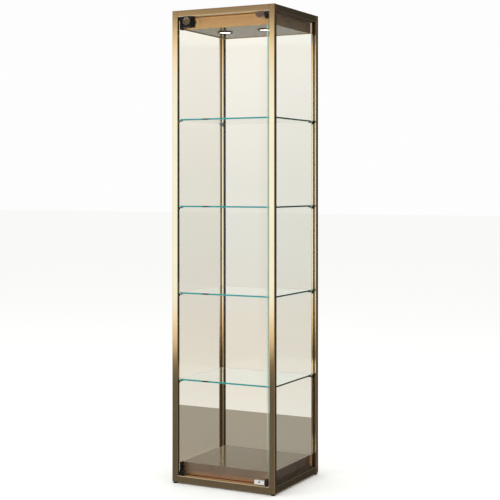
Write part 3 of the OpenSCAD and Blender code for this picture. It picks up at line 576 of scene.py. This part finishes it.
def brushed_metal(name, colour, roughness, grain, wear=0.3, haze=0.0, inward_painted_light=None, under_painted_light=None):
    """Anodised metal with a grain along one axis, soft blotches, lighter rubbed edges and painted shade
    at grazing angles.

    haze is the share of pale lacquer over it. The last two arguments are painted light: the colours,
    painted reflections and painted shade, given to level faces that look toward mid-height and to faces
    that look down.
    """
    material, tree = new_material(name)
    scale = [GRAIN_ACROSS] * 3
    scale["XYZ".index(grain)] = GRAIN_ALONG
    streaks = noise(tree, scale, 2.0)
    blotches = noise(tree, (5, 5, 3), 4.0)
    dark = toned(colour, 0.93)
    base = blend_colours(tree, spread(tree, blotches, 0, 1), dark, toned(colour, 1.05))
    base = blend_colours(tree, product(tree, spread(tree, streaks, 0, 1), STREAK_SHARE), base, dark)
    rub = maths(tree, "MULTIPLY", edge_share(tree), product(tree, blotches, 2 * wear), clamp=True)
    base = blend_colours(tree, rub, base, toned(colour, 1.18, 0.03))
    by_streak = spread(tree, streaks, roughness - 0.02, roughness + 0.03)
    values = {
        "Base Color": base,
        "Metallic": 1.0,
        "Roughness": maths(tree, "ADD", by_streak, spread(tree, blotches, -0.01, 0.02)),
        "Specular Tint": opaque(GRAZING_TINT),
    }
    metal = principled(tree, values, streaks, 0.02 * MM, 0.2)
    # Painted shade: seen at a grazing angle, the skin is painted a dull dark that mirrors nothing.
    slant = add(tree, "ShaderNodeLayerWeight", {"Blend": 0.5}).outputs["Facing"]
    metal = mixed(tree, rise(tree, slant, *GRAZING_FACING), metal, diffuse(tree, GRAZING_PAINTED_SHADE))
    metal = mixed(tree, haze, metal, diffuse(tree, LACQUER))
    if inward_painted_light or under_painted_light:
        metal = with_painted_face_light(tree, metal, inward_painted_light, under_painted_light)
    return ended(material, metal)


def plain_metal(name, colour, roughness, cast=400.0):
    """Metal with fine scratches or a cast skin and slight colour change."""
    material, tree = new_material(name)
    fine = noise(tree, (cast, cast, cast), 4.0)
    broad = noise(tree, (40, 40, 40), 3.0)
    values = {
        "Base Color": blend_colours(tree, spread(tree, broad, 0, 1), toned(colour, 0.92), colour),
        "Metallic": 1.0,
        "Roughness": spread(tree, fine, roughness * 0.8, roughness * 1.3),
    }
    return ended(material, principled(tree, values, fine, 0.01 * MM, 0.15))


def glint_painted_metal(name, colour, roughness):
    """Pale half-metal with a soft shine: its paleness from every side is a painted highlight."""
    material, tree = new_material(name)
    fine = noise(tree, (900, 900, 900), 3.0)
    values = {
        "Base Color": blend_colours(tree, spread(tree, fine, 0, 1), toned(colour, 0.9), colour),
        "Metallic": 0.3,
        "Roughness": spread(tree, fine, roughness, roughness + 0.1),
    }
    return ended(material, principled(tree, values, fine, 0.01 * MM, 0.2))


def moulded(name, colour, roughness, sheen=0.0, shine=0.5):
    """Moulded plastic or rubber with a fine skin and dust-paled patches."""
    material, tree = new_material(name)
    fine = noise(tree, (PLASTIC_GRAIN, PLASTIC_GRAIN, PLASTIC_GRAIN), 2.0)
    broad = noise(tree, (60, 60, 60), 4.0)
    pale = toned(colour, 1.35, 0.012)
    base = blend_colours(tree, spread(tree, broad, 0, 1), colour, pale)
    values = {
        "Base Color": blend_colours(tree, product(tree, edge_share(tree), 0.25), base, pale),
        "Roughness": spread(tree, broad, roughness - 0.05, roughness + 0.06),
        "Sheen Weight": sheen,
        "Specular IOR Level": shine,
        "Specular Tint": opaque(PLASTIC_TINT),
    }
    return ended(material, principled(tree, values, fine, 0.03 * MM, 0.3))


def laminate(name, colour, shine):
    """Smooth laminate with a faint fleck and cloud; shine is its mirror level."""
    material, tree = new_material(name)
    cloud = noise(tree, (14, 6, 14), 5.0)
    fleck = noise(tree, (900, 900, 900), 2.0)
    base = blend_colours(tree, spread(tree, cloud, 0, 1), toned(colour, 0.94), toned(colour, 1.04))
    values = {
        "Base Color": blend_colours(tree, spread(tree, fleck, 0.0, 0.12), base, toned(colour, 0.6)),
        "Roughness": spread(tree, cloud, 0.12, 0.16),
        "Specular IOR Level": shine,
    }
    return ended(material, principled(tree, values, fleck, 0.005 * MM, 0.1))


def even_mirror_share(tree, share):
    """How much glass mirrors at this angle, the same from its outer and inner sides, times share."""
    drop = GLASS_BENDING - 1.0 / GLASS_BENDING
    bending = maths(tree, "SUBTRACT", GLASS_BENDING, product(tree, from_inside(tree), drop))
    return product(tree, add(tree, "ShaderNodeFresnel", {0: bending}).outputs[0], share)


def lit_by_edge(tree, face, lit_from):
    """The pane's face, with a painted glow beyond lit_from along X for the light from the cut edge."""
    x, _, z = split(tree, own_place(tree))
    heights = product(tree, rise(tree, z, *LIT_BOTTOM), rise(tree, z, *LIT_TOP))
    near = rise(tree, x, lit_from, lit_from + LIT_FADE)
    return mixed(tree, product(tree, heights, near, LIT_SHARE), face, glow(tree, LIT_GLASS))


def cut_edge(tree, colour):
    """A pane's cut edge: green with a faint painted glow from outside, and painted dark from inside."""
    streak = noise(tree, (200, 200, 200), 2.0)
    tone = blend_colours(tree, spread(tree, streak, 0, 1), toned(colour, 0.85), colour)
    values = {
        "Base Color": tone,
        "Roughness": 0.12,
        "Emission Color": tone,
        "Emission Strength": CUT_PAINTED_GLOW,
    }
    cut = add(tree, "ShaderNodeBsdfPrincipled", values).outputs[0]
    return mixed(tree, from_inside(tree), cut, diffuse(tree, CUT_PAINTED_DARK))


def pane_glass(name, tint, edge, flat_axis, mirror_share, lit_from=None):
    """A flat pane: it mirrors by angle and tints what is behind it, and its cut edges are green with a
    painted glow and painted dark; given lit_from, a band of painted glow lies beside an edge.
    """
    material, tree = new_material(name)
    smudge = noise(tree, (3, 3, 2), 5.0)
    clear = add(tree, "ShaderNodeBsdfTransparent", {0: opaque(tint)}).outputs[0]
    finish = {0: (1, 1, 1, 1), "Roughness": spread(tree, smudge, 0.0, 0.03)}
    mirror = add(tree, "ShaderNodeBsdfGlossy", finish).outputs[0]
    face = mixed(tree, even_mirror_share(tree, mirror_share), clear, mirror)
    if lit_from is not None:
        face = lit_by_edge(tree, face, lit_from)
    across = maths(tree, "ABSOLUTE", split(tree, own_normal(tree))["XYZ".index(flat_axis)])
    is_edge = maths(tree, "LESS_THAN", across, 0.5)
    return ended(material, mixed(tree, is_edge, face, cut_edge(tree, edge)))


def shelf_glass(name):
    """Float glass that bends light and turns green with the distance light travels inside, with painted
    glow and painted dark on its edges.
    """
    material, tree = new_material(name)
    rough = spread(tree, noise(tree, (9, 9, 9), 5.0), 0.0, 0.02)
    finish = {"Color": (1.0, 1.0, 1.0, 1.0), "Roughness": rough, "IOR": GLASS_BENDING}
    glass = add(tree, "ShaderNodeBsdfGlass", finish).outputs[0]
    open_way = add(tree, "ShaderNodeBsdfTransparent", {0: opaque(SHELF_SHADOW)}).outputs[0]
    shadow = add(tree, "ShaderNodeLightPath").outputs["Is Shadow Ray"]
    glass = mixed(tree, shadow, glass, open_way)
    # The front edge has a painted glow for the light gathered in the sheet, apart from a dark patch
    # that is a painted reflection of a rear post. The side edges are painted dark.
    facing_x, facing_y, _ = split(tree, own_normal(tree))
    front = maths(tree, "LESS_THAN", facing_y, -0.5)
    side = maths(tree, "GREATER_THAN", maths(tree, "ABSOLUTE", facing_x), 0.5)
    outside = maths(tree, "SUBTRACT", 1.0, from_inside(tree))
    share = product(tree, maths(tree, "MAXIMUM", front, side), product(tree, outside, SHELF_PAINTED_EDGE_SHARE))
    x = split(tree, own_place(tree))[0]
    off = maths(tree, "ABSOLUTE", maths(tree, "SUBTRACT", x, SHELF_POST_REFLECTION_X))
    painted_post_reflection = maths(tree, "LESS_THAN", off, SHELF_POST_REFLECTION_HALF)
    tone = blend_colours(tree, maths(tree, "MAXIMUM", painted_post_reflection, side), SHELF_EDGE_PAINTED_GLOW, SHELF_PAINTED_DARK)
    surface = mixed(tree, share, glass, glow(tree, tone))
    volume = {0: opaque(SHELF_GREEN), 1: SHELF_DENSITY}
    green = add(tree, "ShaderNodeVolumeAbsorption", volume).outputs[0]
    add(tree, "ShaderNodeOutputMaterial", {"Surface": surface, "Volume": green})
    return material


def lit_lens(name):
    """A frosted lens, lit from behind: bright to the eye, much weaker in reflections."""
    material, tree = new_material(name)
    grain = noise(tree, (700, 700, 700), 3.0)
    light = blend_colours(tree, spread(tree, grain, 0, 1), (1.0, 0.97, 0.90), (1.0, 1.0, 0.98))
    loss = product(tree, share_mirrored(tree), LENS_LIGHT - LENS_MIRRORED)
    values = {
        "Base Color": (0.9, 0.9, 0.88, 1.0),
        "Roughness": 0.3,
        "Emission Color": light,
        "Emission Strength": maths(tree, "SUBTRACT", LENS_LIGHT, loss),
    }
    return ended(material, principled(tree, values, grain, 0.05 * MM, 0.3))


DOOR_LIT_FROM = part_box("door_glass")[1].x - LIT_WIDTH
MATERIALS = {
    # The bronze copies differ in grain and in the painted light on rail faces that look toward
    # mid-height: a painted reflection on the cross rails, paler at the top, and painted shade on the
    # side rails.
    "bronze_z": brushed_metal("bronze_upright", BRONZE, BRONZE_ROUGHNESS, "Z"),
    "bronze_x": brushed_metal("bronze_crossways", BRONZE, BRONZE_ROUGHNESS, "X", inward_painted_light=TOP_INWARD_PAINTED_LIGHT),
    "bronze_low": brushed_metal("bronze_low", BRONZE, BRONZE_ROUGHNESS, "X", inward_painted_light=LOW_INWARD_PAINTED_LIGHT),
    "bronze_y": brushed_metal("bronze_lengthways", BRONZE, BRONZE_ROUGHNESS, "Y", inward_painted_light=SIDE_INWARD_PAINTED_SHADE),
    # The canopy sheet's faces that look down take a painted shade.
    "canopy_sheet": brushed_metal(
        "canopy_sheet", (0.83, 0.43, 0.13), 0.24, "X", 0.2, haze=0.11, under_painted_light=(0.33, 0.30, 0.22)
    ),
    "base_sheet": brushed_metal("base_sheet", (0.93, 0.64, 0.40), 0.28, "X", 0.2, haze=0.01),
    "dark_sheet": brushed_metal("dark_sheet", (0.20, 0.17, 0.14), 0.30, "X", 0.2),
    "spot_black": plain_metal("spot_black", (0.035, 0.033, 0.036), 0.35),
    # The floor and the ceiling are the same board; the ceiling's far darker colour is painted shade.
    "floor_board": laminate("floor_board", (0.165, 0.125, 0.073), 0.125),
    "ceiling_board": laminate("ceiling_board", (0.052, 0.034, 0.002), 0.052),
    "pane_x": pane_glass("pane_side", SIDE_TINT, SIDE_CUT, "X", SIDE_MIRROR),
    "pane_y": pane_glass("pane_back", SIDE_TINT, SIDE_CUT, "Y", SIDE_MIRROR),
    "door_glass": pane_glass("door_glass", DOOR_TINT, DOOR_CUT, "Y", DOOR_MIRROR, DOOR_LIT_FROM),
    "shelf_glass": shelf_glass("shelf_glass"),
    "black_rubber": moulded("black_rubber", (0.012, 0.012, 0.012), 0.62, sheen=0.1),
    "black_plastic": moulded("black_plastic", (0.014, 0.014, 0.015), 0.38),
    "deep_black": moulded("deep_black", (0.005, 0.005, 0.005), 0.55, shine=0.2),
    "clear_pad": moulded("clear_pad", (0.42, 0.43, 0.42), 0.30),
    "lock_nickel": plain_metal("lock_nickel", (0.25, 0.17, 0.085), 0.20),
    "dark_nickel": plain_metal("dark_nickel", (0.29, 0.160, 0.105), 0.20),
    # The bottom hinge clip is chrome; its pale colour from every side is a painted highlight.
    "glint_painted_nickel": glint_painted_metal("glint_painted_nickel", (0.90, 0.88, 0.85), 0.30),
    "lamp_lens": lit_lens("lamp_lens"),
    "cast_aluminium": plain_metal("cast_aluminium", (0.55, 0.55, 0.56), 0.45, cast=900.0),
    "white_plastic": moulded("white_plastic", (0.62, 0.62, 0.60), 0.42),
    "steel": plain_metal("zinc_steel", (0.58, 0.58, 0.57), 0.28),
}


# ---------- pieces ----------

# Angles in degrees: edges sharper than the sharp ones are rounded or stay crisp, and faces that meet
# at less than the flat one become one face.
SHARP_ANGLE = 35
TURNED_SHARP_ANGLE = 40
FLAT_ANGLE = 0.5
SAME_POINT = 1e-6
ROUNDING_STEPS = 2
TURNING_STEPS = 72
FACE_WEIGHT = 90

# The small dull fittings that don't show in the metal beside them.
UNMIRRORED = ["lock_rosette", "lock_plug", "lock_case", "hinge_knuckles", "door_bumpers"]


def shade(piece, angle):
    """Smooth roundings between truly flat faces; edges sharper than the angle stay crisp."""
    for face in piece.data.polygons:
        face.use_smooth = True
    piece.data.set_sharp_from_angle(angle=math.radians(angle))
    flat = piece.modifiers.new("flat_faces", "WEIGHTED_NORMAL")
    flat.keep_sharp = True
    flat.weight = FACE_WEIGHT


def stand_in(name, shape, node, material, angle):
    """A piece made of the bmesh shape, which rides on the node's body in place of the node."""
    mesh = bpy.data.meshes.new(name)
    shape.to_mesh(mesh)
    shape.free()
    mesh.materials.append(MATERIALS[material])
    piece = bpy.data.objects.new(name, mesh)
    bpy.context.scene.collection.objects.link(piece)
    piece.visible_glossy = node not in UNMIRRORED
    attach(piece, BODY_OF[node])
    shade(piece, angle)
    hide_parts(node)


def soften(node, width, material):
    """Puts the node's own shape, with its sharp edges rounded by width, in place of the node."""
    shape = bmesh.new()
    shape.from_mesh(NODES[node].data)
    bmesh.ops.remove_doubles(shape, verts=shape.verts, dist=SAME_POINT)
    bmesh.ops.dissolve_limit(
        shape, angle_limit=math.radians(FLAT_ANGLE), verts=shape.verts, edges=shape.edges, delimit=set()
    )
    limit = math.radians(SHARP_ANGLE)
    inner = [edge for edge in shape.edges if len(edge.link_faces) == 2]
    sharp = [edge for edge in inner if edge.calc_face_angle() > limit]
    bmesh.ops.bevel(
        shape, geom=sharp, offset=width, offset_type="OFFSET", segments=ROUNDING_STEPS, profile=0.5,
        affect="EDGES", clamp_overlap=True,
    )
    stand_in(node + "_finish", shape, node, material, SHARP_ANGLE)


def dress(node, material):
    """Gives a CAD node whose shape is right a finished material."""
    data = NODES[node].data
    data.materials.clear()
    data.materials.append(MATERIALS[material])


def ring_of(shape, radius, height):
    """A ring of points about Z, or one point again and again where the radius is 0; millimetres."""
    if radius == 0:
        return [shape.verts.new((0, 0, height * MM))] * TURNING_STEPS
    turns = [2 * math.pi * i / TURNING_STEPS for i in range(TURNING_STEPS)]
    return [
        shape.verts.new((radius * MM * math.cos(turn), radius * MM * math.sin(turn), height * MM))
        for turn in turns
    ]


def turned(profile):
    """A closed solid turned about Z: profile is a loop of (radius, height) points, in millimetres."""
    shape = bmesh.new()
    rings = [ring_of(shape, radius, height) for radius, height in profile]
    for ring, after in zip(rings, rings[1:] + rings[:1]):
        for i in range(TURNING_STEPS):
            j = (i + 1) % TURNING_STEPS
            corners = list(dict.fromkeys((ring[i], ring[j], after[j], after[i])))
            if len(corners) > 2:
                shape.faces.new(corners)
    bmesh.ops.recalc_face_normals(shape, faces=shape.faces)
    return shape


def set_turned(node, profile, places, turn, material):
    """Puts copies of one turned shape at each place, as one piece in place of the node."""
    shape = turned(profile)
    whole = bmesh.new()
    for place in places:
        copy = shape.copy()
        bmesh.ops.transform(copy, matrix=Matrix.Translation(place) @ turn, verts=copy.verts)
        part = bpy.data.meshes.new("part")
        copy.to_mesh(part)
        copy.free()
        whole.from_mesh(part)
        bpy.data.meshes.remove(part)
    shape.free()
    stand_in(node + "_turned", whole, node, material, TURNED_SHARP_ANGLE)


def build_spots():
    """The two LED spots: a bezel with a flared mouth, and a lens with a slightly domed face."""
    bezel_low, bezel_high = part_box("spot_bezels")
    lens_low, lens_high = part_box("spot_lenses")
    ceiling_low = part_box("ceiling_panel")[0]
    bezel_r = (bezel_high.y - bezel_low.y) / 2 / MM
    bezel_top = (bezel_high.z - bezel_low.z) / MM
    flange_top = (ceiling_low.z - bezel_low.z) / MM
    lens_r = (lens_high.y - lens_low.y) / 2 / MM
    lens_face = (lens_low.z - bezel_low.z) / MM
    lens_top = (lens_high.z - bezel_low.z) / MM
    bore_r = lens_r + 0.25
    sleeve_r = lens_r + 3.0
    bezel = [
        (bezel_r, flange_top), (bezel_r, 0.9), (bezel_r - 0.25, 0.35), (bezel_r - 0.9, 0.0),
        (lens_r + 3.9, 0.0), (lens_r + 3.4, 0.25), (bore_r, 3.0), (bore_r, bezel_top),
        (sleeve_r, bezel_top), (sleeve_r, flange_top),
    ]
    rim_r = lens_r - 0.1
    lens = [
        (0, lens_face), (lens_r * 0.5, lens_face + 0.1), (lens_r * 0.8, lens_face + 0.4),
        (lens_r * 0.96, lens_face + 0.9), (rim_r, lens_face + 1.3), (rim_r, lens_top), (0, lens_top),
    ]
    spot_x = bezel_high.x - bezel_r * MM
    spot_y = (bezel_low.y + bezel_high.y) / 2
    places = [Vector((side * spot_x, spot_y, bezel_low.z)) for side in (-1, 1)]
    set_turned("spot_bezels", bezel, places, Matrix(), "spot_black")
    set_turned("spot_lenses", lens, places, Matrix(), "lamp_lens")


def build_rosette():
    """The lock's rosette: a rounded ring with a dished face around the plug."""
    low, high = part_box("lock_rosette")
    plug_low, plug_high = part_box("lock_plug")
    outer_r = (high.z - low.z) / 2 / MM
    thick = (high.y - low.y) / MM
    plug_r = (plug_high.z - plug_low.z) / 2 / MM
    bore_r = plug_r + 0.06
    outline = [
        (outer_r, 0.0), (outer_r, thick * 0.45), (outer_r - 0.5, thick * 0.78),
        (outer_r - 1.6, thick * 0.96), (outer_r - 3.0, thick), (outer_r - 4.2, thick * 0.92),
        (outer_r - 6.8, thick * 0.5), (plug_r + 1.4, thick * 0.4), (plug_r + 0.3, thick * 0.46),
        (bore_r, thick * 0.4), (bore_r, 0.0),
    ]
    place = (low + high) / 2
    place.y = high.y
    facing_front = Matrix.Rotation(math.pi / 2, 4, "X")
    set_turned("lock_rosette", outline, [place], facing_front, "lock_nickel")


POSTS = ["post_front_left", "post_front_right", "post_rear_left", "post_rear_right"]
TOP_CROSS_RAILS = ["top_rail_front", "top_rail_rear"]
LOW_CROSS_RAILS = ["bottom_rail_front", "bottom_rail_rear"]
SIDE_RAILS = ["bottom_rail_left", "bottom_rail_right", "top_rail_left", "top_rail_right"]
SHELVES = ["shelf_1", "shelf_2", "shelf_3", "shelf_4"]
FEET = ["foot_front_left", "foot_front_right", "foot_rear_left", "foot_rear_right"]
FIXINGS = [
    "rail_anchors", "anchor_screws", "housing_screws", "support_screws",
    "pivot_plates", "pivot_pins", "pivot_screws", "cam_screw",
]

# Nodes that keep their shape but get rounded edges: the rounding in millimetres, material and slot.
SOFTENED = [
    (POSTS, 0.25, "bronze_z", "bronze_profile"),
    (TOP_CROSS_RAILS, 0.25, "bronze_x", "bronze_profile"),
    (LOW_CROSS_RAILS, 0.25, "bronze_low", "bronze_profile"),
    (SIDE_RAILS, 0.25, "bronze_y", "bronze_profile"),
    (["post_caps"], 0.25, "bronze_x", "bronze_profile"),
    (["base_tray"], 0.5, "base_sheet", "bronze_sheet"),
    (["canopy_shell"], 0.5, "canopy_sheet", "bronze_sheet"),
    (["roof_panel"], 0.4, "dark_sheet", "dark_sheet"),
    (["floor_panel", "floor_battens"], 0.4, "floor_board", "taupe_board"),
    (["ceiling_panel"], 0.4, "ceiling_board", "taupe_board"),
    (SHELVES, 0.3, "shelf_glass", "shelf_glass"),
    (["door_glass"], 0.5, "door_glass", "clear_glass"),
    (["glazing_gaskets"], 0.2, "black_rubber", "black_rubber"),
    (["cable_grommet"], 0.5, "black_rubber", "black_rubber"),
    (["spot_heatsinks"], 0.3, "cast_aluminium", "cast_aluminium"),
    (["led_driver"], 0.6, "white_plastic", "white_plastic"),
    (["wiring"], 0.2, "black_plastic", "black_plastic"),
    (["shelf_supports"], 0.4, "black_plastic", "black_plastic"),
    (["foot_sockets"], 0.3, "black_plastic", "black_plastic"),
    (["support_pads"], 0.15, "clear_pad", "clear_pad"),
    (["hinge_pads"], 0.1, "clear_pad", "clear_pad"),
    (["hinge_clip_top"], 0.6, "dark_nickel", "dark_nickel"),
    (["hinge_clip_bottom"], 0.6, "glint_painted_nickel", "chrome"),
    (["hinge_screws"], 0.15, "dark_nickel", "steel"),
    (["lock_plug"], 0.25, "lock_nickel", "chrome"),
    (["lock_cam"], 0.25, "steel", "steel"),
    (["hinge_knuckles", "corner_trims"], 0.5, "deep_black", "black_plastic"),
    (["lock_case", "door_bumpers"], 1.0, "deep_black", "black_plastic"),
    (FEET, 0.4, "deep_black", "black_plastic"),
    (FIXINGS, 0.15, "steel", "steel"),
]

for nodes, rounding, material, slot in SOFTENED:
    for node in nodes:
        soften(node, rounding * MM, material)
dress("glass_left", "pane_x")
dress("glass_right", "pane_x")
dress("glass_back", "pane_y")
build_spots()
build_rosette()

build_world()
build_floor()
build_softbox()
build_lamps()
build_camera()
set_light_paths()
